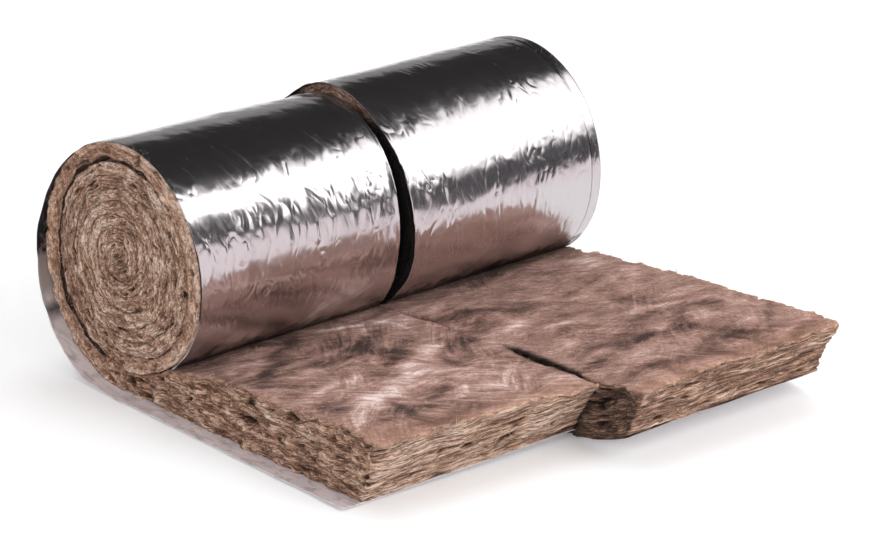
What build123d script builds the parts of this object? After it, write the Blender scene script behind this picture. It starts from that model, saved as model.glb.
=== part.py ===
from build123d import *
from dataclasses import dataclass, replace
from math import cos, radians, sin
import os

# Foil-faced mineral wool blanket, slit down the middle into two halves and partly unrolled.
# Millimetres, +Z up. X runs along the roll, and the free ends of the two mats point towards -Y.
# Heights are above the wool's underside and depths are from the roll's axis line at the slit.

# Blanket
blanket_width = 1200.0
slit_gap = 0.3
foil_thickness = 0.8
foil_clearance = 0.3

# Bare strip of foil along the left edge
flange_width = 50.0
flange_taper_start = 16.0
flange_width_at_mid_height = 22.0
flange_end_below_top = 8.0

# Turns of the roll, seen on its ends
first_turn = 48.0
inner_turn = 31.0
first_groove = 9.0
wide_half_turns = 3
inner_groove = 4.0
groove_depth = 18.0
eye_radius = 11.0

# Roll, and how much taller or lower it is at the ends of each half
roll_height = 560.0
left_end_extra_height = 2.0
left_slit_sag = 8.0
right_slit_extra_height = 10.0
axis_skew = 38.0

# How far the rolled turns have crept away from the slit, which only the mats still reach
creep = 8.0

# Where the mat leaves the roll, as an angle round from the roll's lowest line
nip_angle = 36.0
foil_end_angle = 3.0

# Front edge of the mats, at the wool's underside
left_end_reach = 808.0
left_slit_reach = 825.0
right_slit_reach = 964.0
right_end_reach = 955.0

# Lean of the cut front face, from its lower to its upper edge
left_end_lean = 52.0
left_slit_lean = 52.0
right_slit_lean = 43.0
right_end_lean = 56.0

# Rise of the lower front edge, where the free ends curl up
left_end_curl = 3.0
left_slit_curl = 25.0
right_slit_curl = 48.0
right_end_curl = 52.0
left_curl_length = 240.0
right_curl_length = 190.0

# Wool thickness at the cut front face
left_end_loft = 154.0
left_slit_loft = 114.0
right_slit_loft = 118.0
right_end_loft = 126.0

# Swell of the mats' top between the roll and the front edge
left_swell = 34.0
right_swell = 50.0

# How far cutting shapes reach past what they cut
cutter_room = 10.0


@dataclass
class Station:
    """Section of one half across the roll, at one place along it."""

    x: float
    roll_height: float
    axis_y: float
    reach: float
    lean: float
    curl: float
    curl_length: float
    loft: float
    swell: float

    def back_arc(self, offset=0.0):
        """Half turn up the back, as its centre and radius."""
        radius = self.roll_height / 2
        return (self.axis_y, radius), radius + offset

    def front_arc(self, offset=0.0):
        """Half turn down the front, which ends on the turn below."""
        radius = (self.roll_height - first_turn) / 2
        return (self.axis_y, first_turn + radius), radius + offset

    def on_front(self, angle):
        """Point on the front half turn, at an angle round from its lowest point."""
        centre, radius = self.front_arc()
        return centre[0] - radius * sin(radians(angle)), centre[1] - radius * cos(radians(angle))

    def underside(self, offset=0.0):
        """Edges from the lower front edge back to the roll's lowest point."""
        flat_end = -self.reach + self.curl_length
        toe = (-self.reach, self.curl - offset)
        bend = (-self.reach + self.curl_length / 2, -offset)
        return [
            Bezier(toe, bend, (flat_end, -offset)),
            Line((flat_end, -offset), (self.axis_y, -offset)),
        ]


rolled_width = (blanket_width - slit_gap) / 2 - creep
wool_base = foil_thickness + foil_clearance

left_end = Station(
    x=-blanket_width / 2,
    roll_height=roll_height + left_end_extra_height,
    axis_y=-axis_skew / 2,
    reach=left_end_reach,
    lean=left_end_lean,
    curl=left_end_curl,
    curl_length=left_curl_length,
    loft=left_end_loft,
    swell=left_swell,
)
left_slit = replace(
    left_end,
    x=left_end.x + rolled_width,
    roll_height=roll_height - left_slit_sag,
    axis_y=0.0,
    reach=left_slit_reach,
    lean=left_slit_lean,
    curl=left_slit_curl,
    loft=left_slit_loft,
)
right_end = Station(
    x=blanket_width / 2,
    roll_height=roll_height,
    axis_y=axis_skew / 2,
    reach=right_end_reach,
    lean=right_end_lean,
    curl=right_end_curl,
    curl_length=right_curl_length,
    loft=right_end_loft,
    swell=right_swell,
)
right_slit = replace(
    right_end,
    x=right_end.x - rolled_width,
    roll_height=roll_height + right_slit_extra_height,
    axis_y=0.0,
    reach=right_slit_reach,
    lean=right_slit_lean,
    curl=right_slit_curl,
    loft=right_slit_loft,
)


def section_plane(x):
    """Plane across the roll, whose own x is world Y and own y is world Z, above the foil."""
    return Plane(origin=(x, 0, wool_base), x_dir=(0, 1, 0), z_dir=(1, 0, 0))


def mat_top(station):
    """Top of the mat, from the upper front edge back to where the mat leaves the roll."""
    lip = (-station.reach - station.lean, station.curl + station.loft)
    nip = station.on_front(nip_angle)
    third = (nip[0] - lip[0]) / 3
    return Bezier(lip, (lip[0] + third, lip[1]), (nip[0] - third, nip[1] + station.swell), nip)


def wool_face(station):
    """Outline of the wool: mat, cut front, top of the mat and the roll."""
    front_centre, front_radius = station.front_arc()
    back_centre, back_radius = station.back_arc()
    underside = station.underside()
    top = mat_top(station)
    outline = underside + [
        Line(underside[0] @ 0, top @ 0),
        top,
        CenterArc(front_centre, front_radius, 90, 180 - nip_angle),
        CenterArc(back_centre, back_radius, -90, 180),
    ]
    return section_plane(station.x) * make_face(outline)


def foil_face(station):
    """Band of foil under the mat, up the back and over the front to the nip."""
    sides = []
    for offset in (foil_clearance, foil_clearance + foil_thickness):
        back_centre, back_radius = station.back_arc(offset)
        front_centre, front_radius = station.front_arc(offset)
        side = station.underside(offset)
        side.append(CenterArc(back_centre, back_radius, -90, 180))
        side.append(CenterArc(front_centre, front_radius, 90, 180 - nip_angle - foil_end_angle))
        sides.append(side)
    inner, outer = sides
    ends = [Line(inner[0] @ 0, outer[0] @ 0), Line(inner[-1] @ 1, outer[-1] @ 1)]
    return section_plane(station.x) * make_face(inner + outer + ends)


def half_turns(station):
    """Heights where the turn lines cross the axis line, going inwards, below and above by turns."""
    low = first_turn
    high = station.roll_height - first_turn
    heights = []
    while high - low > 2 * eye_radius + inner_turn:
        heights += [low, high]
        low += inner_turn
        high -= inner_turn
    return heights + [low]


def turn_line(station, side):
    """Edges of one side of the groove between the turns: 0 is its outer side and 1 its inner."""
    heights = half_turns(station)
    widths = [first_groove] * wide_half_turns + [inner_groove] * (len(heights) - wide_half_turns)
    inset = [w * side * (1 if i % 2 == 0 else -1) for i, w in enumerate(widths)]
    points = [height + step for height, step in zip(heights, inset)]
    first_top = station.roll_height - first_groove * side
    first_radius = (first_top - points[0]) / 2
    start = nip_angle - foil_end_angle
    edges = [CenterArc((station.axis_y, first_top - first_radius), first_radius, 270 - start, start)]
    for i, (here, there) in enumerate(zip(points, points[1:])):
        centre = (station.axis_y, (here + there) / 2)
        start_angle = -90 if i % 2 == 0 else 90
        edges.append(CenterArc(centre, abs(there - here) / 2, start_angle, 180))
    return edges


def eye_centre(station):
    """Middle of the innermost half turn."""
    heights = half_turns(station)
    return station.axis_y, (heights[-1] + heights[-2]) / 2


def turn_groove(station, inwards):
    """Spiral groove that shows the turns on one end of the roll."""
    outer = turn_line(station, 0)
    inner = turn_line(station, 1)
    ends = [Line(outer[0] @ 0, inner[0] @ 0), Line(outer[-1] @ 1, inner[-1] @ 1)]
    face = section_plane(station.x) * make_face(outer + inner + ends)
    return extrude(face, groove_depth, dir=(inwards, 0, 0))


def eye_bore(first, second):
    """Hole through the middle of the roll."""
    rings = []
    for station in (first, second):
        ring = Pos(*eye_centre(station)) * Circle(eye_radius)
        rings.append(section_plane(station.x) * ring)
    return loft(rings, ruled=True)


def mat_rim(slit, outwards):
    """Slice of mat that reaches from the crept roll's end to the slit."""
    nip = slit.on_front(nip_angle)
    curl, flat = slit.underside()
    outline = [
        curl,
        Polyline(flat @ 0, (nip[0], 0), nip),
        mat_top(slit),
        Line(mat_top(slit) @ 0, curl @ 0),
    ]
    return extrude(section_plane(slit.x) * make_face(outline), creep, dir=(outwards, 0, 0))


def wool_half(end, slit, inwards):
    """Wool of one half, with its turns showing on the end that is an end of the whole roll."""
    wool = loft([wool_face(end), wool_face(slit)], ruled=True)
    return wool - eye_bore(end, slit) - turn_groove(end, inwards) + mat_rim(slit, inwards)


def beside_flange():
    """What is trimmed from the foil past the wool's left end: all but the floor and the back."""
    edge = left_end.x
    tip = edge - flange_width
    outside = tip - cutter_room
    above = left_end.roll_height + cutter_room
    taper_start = (tip, flange_taper_start)
    taper_middle = (edge - flange_width_at_mid_height, left_end.roll_height / 2)
    taper_end = (edge, left_end.roll_height - flange_end_below_top)
    beyond_taper = make_face([
        ThreePointArc(taper_start, taper_middle, taper_end),
        Polyline(taper_end, (edge, above), (outside, above), (outside, flange_taper_start), taper_start),
    ])
    side_view = Plane(origin=(0, 0, wool_base), x_dir=(1, 0, 0), z_dir=(0, -1, 0))
    taper_cutter = extrude(side_view * beyond_taper, left_end.roll_height, both=True)
    front_depth = left_end.front_arc(cutter_room)[1]
    front_cutter = Pos(edge, left_end.axis_y, wool_base + flange_taper_start) * Box(
        flange_width + cutter_room,
        front_depth,
        above,
        align=(Align.MAX, Align.MAX, Align.MIN),
    )
    return taper_cutter + front_cutter


def left_foil():
    """Foil facing of the left half, which goes on past the wool's end as a bare strip."""
    flange_edge = replace(left_end, x=left_end.x - flange_width)
    sections = [foil_face(flange_edge), foil_face(left_end), foil_face(left_slit)]
    return loft(sections, ruled=True) - beside_flange()


def right_foil():
    """Foil facing of the right half, which stops at the wool's end."""
    return loft([foil_face(right_slit), foil_face(right_end)], ruled=True)


pieces = {
    "wool_left": wool_half(left_end, left_slit, 1),
    "wool_right": wool_half(right_end, right_slit, -1),
    "foil_left": left_foil(),
    "foil_right": right_foil(),
}

# The blanket stands on the middle of its bounding box's underside.
box = Compound(children=[Compound(piece.wrapped) for piece in pieces.values()]).bounding_box()
to_origin = Pos(-box.center().X, -box.center().Y, -box.min.Z)

os.makedirs("parts", exist_ok=True)
for name, piece in pieces.items():
    export_step(to_origin * piece, f"parts/{name}.step")
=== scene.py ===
from dataclasses import dataclass, replace
from math import cos, pi, radians, sin
from types import SimpleNamespace

import bpy
import numpy as np
from mathutils import Matrix, Vector

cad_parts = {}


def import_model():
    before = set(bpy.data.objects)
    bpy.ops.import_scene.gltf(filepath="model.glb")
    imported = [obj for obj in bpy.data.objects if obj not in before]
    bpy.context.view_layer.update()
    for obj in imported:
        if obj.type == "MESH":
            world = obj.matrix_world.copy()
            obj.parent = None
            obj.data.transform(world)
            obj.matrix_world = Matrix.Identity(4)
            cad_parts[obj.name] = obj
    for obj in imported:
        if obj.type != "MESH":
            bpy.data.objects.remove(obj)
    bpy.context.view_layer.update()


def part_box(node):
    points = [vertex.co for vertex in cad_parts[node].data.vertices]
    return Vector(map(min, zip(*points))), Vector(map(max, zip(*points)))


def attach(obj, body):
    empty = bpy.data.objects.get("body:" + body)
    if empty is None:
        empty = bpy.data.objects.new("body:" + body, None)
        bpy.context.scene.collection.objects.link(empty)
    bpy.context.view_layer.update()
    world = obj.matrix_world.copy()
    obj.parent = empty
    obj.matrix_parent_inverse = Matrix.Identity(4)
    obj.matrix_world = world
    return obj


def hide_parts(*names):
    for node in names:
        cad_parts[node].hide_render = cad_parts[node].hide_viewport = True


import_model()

# Foil-faced mineral wool blanket, slit into two halves and partly unrolled.
# Metres, +Z up. Sections across the roll are drawn in Y, from the roll's axis line at the slit,
# and in height above the wool's underside. A pattern divides each place by the size of its lumps.
wool_low, wool_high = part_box("wool_left")
far_low, far_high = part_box("wool_right")
base = wool_low.z

# Turns, and how far round from the roll's lowest line the mat leaves it and the foil ends
first_turn = 0.048
inner_turn = 0.031
first_turn_radius = 0.27
turn_count = 8.3
most_half_turns = 40
nip_angle = radians(36)
foil_end_angle = radians(39)

# How far the rolled turns and their foil stand back from the slit
creep = 0.008
wool_behind_foil = 0.005

# Foil
foil_thickness = 0.0008
foil_clearance = 0.0003
foil_length = 2.35
flange_width = 0.050
joint_inset = 0.027

# How deep under a cut face its relief reaches
mat_face = 0.012
roll_face = 0.02
fringe_depth = 0.009

# Where the slit opens between the mats, and where the left mat ends beside it
slit_opens = 0.575
left_mat_ends = 0.80

# Cells of the meshes, across, along and through
mat_cells = (72, 240, 40)
turns_cells = (7, 1500, 16)
foil_cells = (100, 300)
strip_columns = 10
fibre_levels = 3

# Step from fibre to fibre in the row that they are made from
fibre_step = 4


def blend(a, b, t):
    return a + (b - a) * t


def ease(t):
    """Smooth step from 0 to 1."""
    t = np.clip(t, 0.0, 1.0)
    return t * t * (3 - 2 * t)


def near(distance, reach):
    """1 at a place, and smoothly less away from it."""
    return np.exp(-((distance / reach) ** 2))


# Random but repeatable relief

def lattice(i, j, k, seed):
    """Random number from -1 to 1 for each corner of a grid."""
    h = i * 374761393 + j * 668265263 + k * 1440662683 + seed * 1274126177
    h = (h ^ (h >> 13)) * 1103515245 & 0xFFFFFFFF
    h = (h ^ (h >> 16)) * 2246822519 & 0xFFFFFFFF
    h = h ^ (h >> 15)
    return (h & 0xFFFF) / 32767.5 - 1.0


def lumps(x, y, z, seed):
    """Smooth random relief from -1 to 1, with lumps about one unit wide."""
    x, y, z = np.broadcast_arrays(x, y, z)
    corner = [np.floor(c).astype(np.int64) for c in (x, y, z)]
    part = [ease(c - w) for c, w in zip((x, y, z), corner)]
    total = np.zeros(x.shape)
    for di in (0, 1):
        for dj in (0, 1):
            for dk in (0, 1):
                weight = np.ones(x.shape)
                for step, share in zip((di, dj, dk), part):
                    weight = weight * (share if step else 1 - share)
                total += weight * lattice(corner[0] + di, corner[1] + dj, corner[2] + dk, seed)
    return total


def rough(x, y, z, seed, octaves=3):
    """Relief with finer lumps on coarser ones."""
    total, share = 0.0, 1.0
    for n in range(octaves):
        total = total + share * lumps(x * 2 ** n, y * 2 ** n, z * 2 ** n, seed + n)
        share /= 2
    return total


# Sections across the roll

@dataclass
class Station:
    """Section of one half of the blanket, at one place along the roll.

    A dent presses the roll out of round, and a pull holds its rolled end back from the slit.
    Each is an angle above the front in degrees, its spread and its depth."""

    x: float
    height: float
    axis: float
    reach: float
    lean: float
    curl: float
    curl_length: float
    loft: float
    swell: float
    eye: tuple
    dents: tuple
    pulls: tuple = ()

    def along_curl(self, y):
        """Share of the way up the curl, which goes on a little past the front edge."""
        return np.clip((self.curl_length - self.reach - y) / self.curl_length, 0, 1.2)

    def underside(self, y):
        """Height of the wool's underside: flat, then curling up towards the front edge."""
        return self.curl * self.along_curl(y) ** 2

    def front_radius(self):
        """Radius of the front half turn, which ends on the turn below."""
        return (self.height - first_turn) / 2

    def nip(self):
        """Where the mat leaves the roll."""
        radius = self.front_radius()
        return self.axis - radius * sin(nip_angle), first_turn + radius - radius * cos(nip_angle)

    def mat_top(self, y):
        """Height of the mat's top, which ends under the roll's second turn."""
        nip_y, nip_z = self.nip()
        lip_y, lip_z = -self.reach - self.lean, self.curl + self.loft
        t = np.clip((y - lip_y) / (nip_y - lip_y), 0, 1)
        swell_z = nip_z + self.swell
        open_top = (
            (1 - t) ** 3 * lip_z + 3 * (1 - t) ** 2 * t * lip_z
            + 3 * (1 - t) * t ** 2 * swell_z + t ** 3 * nip_z
        )
        radius = self.front_radius()
        under_roll = first_turn + radius - np.sqrt(np.maximum(radius ** 2 - (y - self.axis) ** 2, 0))
        return np.where(y < nip_y, open_top, under_roll)

    def turns(self, angle):
        """Point on the foil side of the turns, by the angle wound from the roll's lowest line."""
        count = np.arange(most_half_turns)
        low = np.concatenate([[0.0], first_turn + inner_turn * count])
        high = np.concatenate([[self.height], self.height - first_turn - inner_turn * count])
        rising = count % 2 == 0
        start = np.where(rising, low[count // 2], high[count // 2])
        end = np.where(rising, high[count // 2], low[(count + 1) // 2])
        half = np.clip(np.floor(angle / pi).astype(int), 0, most_half_turns - 1)
        radius = (end[half] - start[half]) / 2
        radius = np.maximum(np.where(rising[half], radius, -radius), 0.0005)
        centre = (end[half] + start[half]) / 2
        return radius * np.sin(angle), centre - radius * np.cos(angle)

    def bumps(self, y, z, places):
        """Sum of dents or pulls at each point of the section."""
        angle = np.degrees(np.arctan2(z - self.height / 2, -y))
        return sum(depth * near(angle - at, width) for at, width, depth in places)

    def out_of_round(self, y, z):
        """How far the roll's section is pressed in or bulges, as a shift of each point of it."""
        middle = self.height / 2
        away = np.hypot(y, z - middle) / middle
        shift = self.bumps(y, z, self.dents) * np.clip(away, 0, 1) ** 2 / np.maximum(away * middle, 0.01)
        return y * shift, (z - middle) * shift

    def placed(self, y, z):
        """Turns drawn about the axis, set off towards the eye and out of round."""
        middle = self.height / 2
        away = np.hypot(y, z - middle) / middle
        pull = np.clip(1 - away ** 2, 0, 1) ** 1.5
        shift_y, shift_z = self.out_of_round(y, z)
        return self.axis + y + shift_y + self.eye[0] * pull, z + shift_z + self.eye[1] * pull


left_end = Station(
    x=wool_low.x,
    height=0.562,
    axis=-0.019,
    reach=0.808,
    lean=0.052,
    curl=0.003,
    curl_length=0.240,
    loft=0.154,
    swell=0.034,
    eye=(0.029, 0.010),
    dents=((-22, 30, 0.006),),
)
left_slit = replace(
    left_end,
    x=wool_high.x,
    height=0.552,
    axis=0.0,
    reach=0.825,
    curl=0.025,
    loft=0.114,
    eye=(0.010, 0.006),
    dents=((95, 30, -0.006), (-34, 24, 0.006)),
    pulls=((4, 36, 0.012),),
)
right_end = Station(
    x=far_high.x,
    height=0.560,
    axis=0.019,
    reach=0.955,
    lean=0.056,
    curl=0.052,
    curl_length=0.190,
    loft=0.126,
    swell=0.050,
    eye=(-0.012, 0.008),
    dents=((-20, 30, 0.005),),
)
right_slit = replace(
    right_end,
    x=far_low.x,
    height=0.570,
    axis=0.0,
    reach=0.964,
    lean=0.043,
    curl=0.048,
    loft=0.118,
    eye=(0.010, 0.006),
    dents=((60, 22, -0.013), (-15, 28, 0.010), (130, 20, -0.010)),
    pulls=((-24, 28, 0.009),),
)
foil_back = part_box("foil_right")[1].y
axis_line = foil_back - right_end.axis - right_end.height / 2 - foil_clearance - foil_thickness


# Mesh helpers

def deselect():
    for thing in bpy.context.selected_objects:
        thing.select_set(False)


def pick(piece):
    deselect()
    piece.select_set(True)
    bpy.context.view_layer.objects.active = piece


def edit_all():
    bpy.ops.object.mode_set(mode="EDIT")
    bpy.ops.mesh.select_all(action="SELECT")


def pull_up(layers):
    """Extrudes what is selected by a number of layers, each one unit high."""
    for _ in range(layers):
        bpy.ops.mesh.extrude_region_move(TRANSFORM_OT_translate={"value": (0, 0, 1)})


def new_sheet(name, across, along):
    """Flat grid of cells."""
    deselect()
    bpy.ops.mesh.primitive_grid_add(x_subdivisions=across, y_subdivisions=along, size=2)
    sheet = bpy.context.object
    sheet.name = name
    return sheet


def new_block(name, across, along, layers):
    """Closed block of cells: a grid, pulled up one layer at a time."""
    block = new_sheet(name, across, along)
    edit_all()
    pull_up(layers)
    bpy.ops.object.mode_set(mode="OBJECT")
    return block


def points_of(piece):
    points = np.empty(len(piece.data.vertices) * 3)
    piece.data.vertices.foreach_get("co", points)
    return points.reshape(-1, 3)


def move_points(piece, places):
    piece.data.vertices.foreach_set("co", places.ravel())
    piece.data.update()


def cells(piece, layers=1):
    """Place of each point in its block, from 0 to 1 across, along and through."""
    points = points_of(piece)
    return (points[:, 0] + 1) / 2, (points[:, 1] + 1) / 2, points[:, 2] / layers


def spread(u, outer_x, slit_x, crowding):
    """Columns between the two ends of a half, crowded near them: their shares of the way from the
    outer end, their places in x, and how far they are from the outer end and from the slit."""
    across = blend(u, 0.5 - 0.5 * np.cos(pi * u), crowding)
    width = abs(slit_x - outer_x)
    return across, blend(outer_x, slit_x, across), width * across, width * (1 - across)


def shape(piece, x, y, z):
    """Moves the points to places given from the axis line and the wool's underside."""
    move_points(piece, np.stack([x, axis_line + y, base + z], axis=1))


def face_outwards(piece):
    pick(piece)
    edit_all()
    bpy.ops.mesh.normals_make_consistent(inside=False)
    bpy.ops.object.mode_set(mode="OBJECT")
    bpy.ops.object.shade_smooth()


def mark(piece, **kept):
    """Numbers or places kept at each point for the material."""
    for name, values in kept.items():
        kind, field = ("FLOAT_VECTOR", "vector") if values.ndim == 2 else ("FLOAT", "value")
        attribute = piece.data.attributes.new(name, kind, "POINT")
        attribute.data.foreach_set(field, values.astype(np.float32).ravel())


# Wool

def rounded(from_side, from_face, radius):
    """How far a corner's points pull in from its side and from its face to round it."""
    p = 1 - np.clip(from_side / radius, 0, 1)
    q = 1 - np.clip(from_face / radius, 0, 1)
    in_from_side = radius * (p - p * np.sqrt(1 - q * q / 2))
    in_from_face = radius * (q - q * np.sqrt(1 - p * p / 2))
    return in_from_side, in_from_face


def torn(along, through, depth, seed):
    """Relief of a cut wool face, in layers and clumps: out of the face is positive."""
    wave = 0.006 * lumps(along / 0.09, through / 0.05, 0, seed)
    wave = wave + 0.002 * lumps(along / 0.02, through / 0.03, 0, seed + 6)
    layer = np.abs(lumps(along / 0.062, (through + wave) / 0.015, 1.5, seed + 1))
    clump = np.abs(lumps(along / 0.027, (through + wave) / 0.012, 4.5, seed + 2))
    tuft = lumps(along / 0.010, through / 0.006, 7.5, seed + 3)
    swell = lumps(along / 0.13, through / 0.06, 9.5, seed + 4)
    pit = ease((-0.38 - lumps(along / 0.034, (through + wave) / 0.011, 11.5, seed + 5)) / 0.25)
    return depth * (0.9 * layer + 1.0 * clump + 0.22 * tuft + 0.45 * swell - 1.5 * pit - 0.85)


def hills(x, length, seed):
    """Soft hills and hollows on top of a mat: their height, and painted shade, lighter on hills and darker
    in hollows.
    """
    lie = lumps(x / 0.20, length / 0.20, 8.5, seed + 9)
    broad = lumps(x / 0.17, length / 0.15, 0.5, seed + 10)
    hill = lumps((x + 0.05 * lie) / 0.060, (length - 0.05 * lie) / 0.10, 3.5, seed + 11)
    tuft = np.abs(lumps((x + 0.03 * lie) / 0.036, (length + 0.03 * lie) / 0.050, 5.5, seed + 12))
    fine = lumps(x / 0.014, length / 0.017, 6.5, seed + 13)
    height = 0.0095 * broad + 0.0050 * hill + 0.0024 * tuft + 0.0006 * fine - 0.002
    return height, 0.35 * broad + 0.25 * hill + 0.3 * (tuft - 0.3)


def stroke(x, length, start, end, width):
    """Soft stroke between two places on a mat, 1 at its middle line."""
    run_x, run_y = end[0] - start[0], end[1] - start[1]
    along = ((x - start[0]) * run_x + (length - start[1]) * run_y) / (run_x ** 2 + run_y ** 2)
    share = np.clip(along, 0, 1)
    away = np.hypot(x - start[0] - share * run_x, 0.6 * (length - start[1] - share * run_y))
    return near(away, width) * (0.5 + 2 * share * (1 - share))


def veils(x, length, count, seed):
    """Long soft strands, lighter and darker, that lie over one another on a mat."""
    random = np.random.default_rng(seed)
    total = np.zeros_like(x)
    for _ in range(count):
        start = random.uniform(x.min(), x.max()), random.uniform(length.min(), length.max())
        heading = random.normal(0.0, 0.55)
        reach = random.uniform(0.08, 0.28)
        end = start[0] + reach * cos(heading), start[1] + reach * sin(heading)
        amount = random.uniform(-2.4, 1.9)
        total = total + amount * stroke(x, length, start, end, random.uniform(0.008, 0.018))
    return total


def strands(x, length, strokes, seed):
    """Light and dark on top of a mat: strands at random, and the ones that the photograph shows."""
    bend = 0.030 * lumps(x / 0.10, length / 0.10, 2.5, seed + 15)
    x, length = x + bend, length - bend
    total = veils(x, length, 90, seed + 16)
    for start_x, start_length, end_x, end_length, width, amount in strokes:
        line = stroke(x, length, (start_x, start_length), (end_x, end_length), width)
        total = total + 1.5 * amount * line
    return total


def mat_places(block, outer, slit):
    """Points of a mat before any relief, and how far each is from the mat's faces."""
    at = SimpleNamespace(inwards=np.sign(slit.x - outer.x))
    u, v, at.t = cells(block, mat_cells[2])
    across, at.x, at.from_outer, at.from_slit = spread(u, outer.x, slit.x, 0.6)
    sections = []
    for station in (outer, slit):
        bottom_y = blend(-station.reach, station.axis, v)
        top_y = blend(-station.reach - station.lean, station.axis, v)
        sections.append((bottom_y, station.underside(bottom_y), top_y, station.mat_top(top_y)))
    bottom_y, bottom_z, at.top_y, top_z = (blend(a, b, across) for a, b in zip(*sections))
    at.y = blend(bottom_y, at.top_y, at.t)
    at.z = blend(bottom_z, top_z, at.t)
    at.length = -at.y
    at.through = (top_z - bottom_z) * at.t
    at.from_top = (top_z - bottom_z) * (1 - at.t)
    at.from_front = (outer.reach - outer.axis) * v
    at.from_nip = min(outer.nip()[0], slit.nip()[0]) - at.y
    at.free = ease((at.from_nip - 0.012) / 0.05)
    at.open_slit = ease((at.length - slit_opens) / 0.05)
    at.near_outer = near(at.from_outer, mat_face)
    at.near_slit = near(at.from_slit, mat_face)
    at.near_front = near(at.from_front, mat_face)
    at.top_edge = near(at.from_top, fringe_depth)
    at.outer_edges = at.top_edge * np.clip(at.near_outer + at.near_front, 0, 1)
    return at


def raise_top(at, slit, other, strokes, seed):
    """Hills and strands on top of a mat, whose edge along the slit nearly meets the other mat's."""
    step = other.mat_top(at.top_y) - slit.mat_top(at.top_y)
    share = 0.25 if other.reach > slit.reach else 0.60
    beside = ease((other.reach + other.lean + 0.11 - at.length) / 0.12)
    at.z = at.z + share * step * near(at.from_slit, 0.09) * beside * at.free * at.t
    height, at.tone = hills(at.x, at.length, seed)
    at.z = at.z + height * at.free * at.t ** 2
    # Painted shade where it goes under the roll.
    at.tone = at.tone - 1.2 * (1 - ease(at.from_nip / 0.08))
    near_top = at.from_top < 0.02
    at.tone[near_top] += strands(at.x[near_top], at.length[near_top], strokes, seed)


def round_corners(at):
    """Corners between a mat's side faces, its front and its top."""
    for from_side, top_radius, front_radius, sign in (
        (at.from_outer, 0.010, 0.010, at.inwards),
        (at.from_slit, 0.005, 0.006, -at.inwards),
    ):
        side_in, top_in = rounded(from_side, at.from_top, top_radius)
        corner_in, front_in = rounded(from_side, at.from_front, front_radius)
        at.x = at.x + sign * (side_in + corner_in)
        at.y = at.y + front_in
        at.z = at.z - top_in * at.free
    front_in, top_in = rounded(at.from_front, at.from_top, 0.006)
    at.y = at.y + front_in
    at.z = at.z - top_in


def tear_faces(at, depths, gapes, seed):
    """Cut faces torn in layers, with tufts that stick out of the top edges."""
    depth_outer, depth_slit, depth_front = depths
    outer_relief = torn(at.length, at.through, depth_outer, seed + 20)
    slit_relief = torn(at.length, at.through, depth_slit, seed + 40) * at.open_slit
    front_relief = torn(at.x * 0.55, at.through * 1.8, depth_front, seed + 60)
    # How deep each point lies in the torn relief, kept to paint shade into the hollows.
    at.hollow = (
        -outer_relief / depth_outer * at.near_outer
        - front_relief / depth_front * at.near_front
        - slit_relief / depth_slit * at.near_slit * at.open_slit
    )
    tufts = np.abs(rough(at.x / 0.030, at.length / 0.030, 2.5, seed + 80)) * at.top_edge
    jitter = 0.0045 * rough(at.length / 0.018, at.through / 0.03, 1.5, seed + 70) * at.open_slit
    beside_slit = np.minimum(slit_relief, 0) * (1 - at.top_edge) + jitter
    inwards = beside_slit * at.near_slit - (outer_relief + 0.013 * tufts) * at.near_outer
    if gapes:
        # The slit gapes a little behind the corner, which points out.
        gape = 0.017 * near(at.length - 0.690, 0.080) + 0.004 * at.open_slit
        corner = near(at.from_slit, 0.03) * near(at.from_front, 0.03) * at.t ** 3
        inwards = inwards - gape * blend(0.2, 1.0, at.t) * near(at.from_slit, 0.03) + 0.008 * corner
        at.y = at.y - 0.010 * corner
    at.x = at.x + at.inwards * inwards
    at.y = at.y - (front_relief + 0.011 * tufts) * at.near_front
    ragged = rough(at.x / 0.030, at.length / 0.030, 5.5, seed + 84)
    at.z = at.z + ragged * 0.0055 * at.outer_edges * at.free


def mark_mat(block, at, front_painted_light):
    """What the wool's material and the loose fibres need to know at each point of a mat."""
    cut = np.clip(at.near_outer + at.near_slit * at.open_slit + at.near_front, 0, 1)
    cut = cut * ease((at.from_top - 0.001) / 0.004)
    # Painted shade in the slit, less deep past the left mat, where it lies open.
    past_left = at.length - left_mat_ends
    slit_shade = blend(0.85, 0.46, ease(past_left / 0.06)) * at.near_slit * at.open_slit
    # Painted highlight: a pale rim along the top of the front and outer edges; the wool is also warmer
    # towards them.
    rim = near(at.from_top, 0.005) * np.clip(near(at.from_front, 0.007) + 0.35 * at.near_outer, 0, 1)
    warm = near(at.from_front, 0.055) + 0.5 * near(at.from_outer, 0.03)
    mark(
        block,
        # The layers run longer and thinner on the front.
        blanket=np.stack([at.x * 0.70, at.length, at.through * (1 + 0.3 * at.near_front)], axis=1),
        # Painted shade in the hollows of the torn faces.
        hollow=at.hollow,
        cut=cut,
        slit=slit_shade * (1 - at.top_edge * ease(past_left / 0.05)),
        rim=rim,
        warm=warm * (1 - 0.8 * cut),
        # Painted light: the cut fronts and outer sides are made lighter.
        tone=blend(at.tone, front_painted_light * at.near_front + 0.45 * at.near_outer, cut),
        ring=np.ones_like(at.x),
        # Loose fibres grow thickest along the top edges.
        fibres=(0.030 * at.t ** 6 + at.outer_edges + 0.10 * cut) * at.free * (1 - at.near_slit),
    )


def mat(name, outer, slit, other, depths, front_painted_light, strokes, seed):
    """Unrolled part of one half, from its front edge back to the roll's lowest line."""
    block = new_block(name, *mat_cells)
    at = mat_places(block, outer, slit)
    # Layers wander through the mat.
    wander = lumps(at.x / 0.10, at.length / 0.12, at.through / 0.04, seed)
    at.z = at.z + 0.0045 * wander * np.sin(pi * at.t)
    raise_top(at, slit, other, strokes, seed)
    round_corners(at)
    tear_faces(at, depths, other.reach > slit.reach, seed)
    shape(block, at.x, at.y, np.maximum(at.z, 0))
    face_outwards(block)
    mark_mat(block, at, front_painted_light)
    return block


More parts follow.
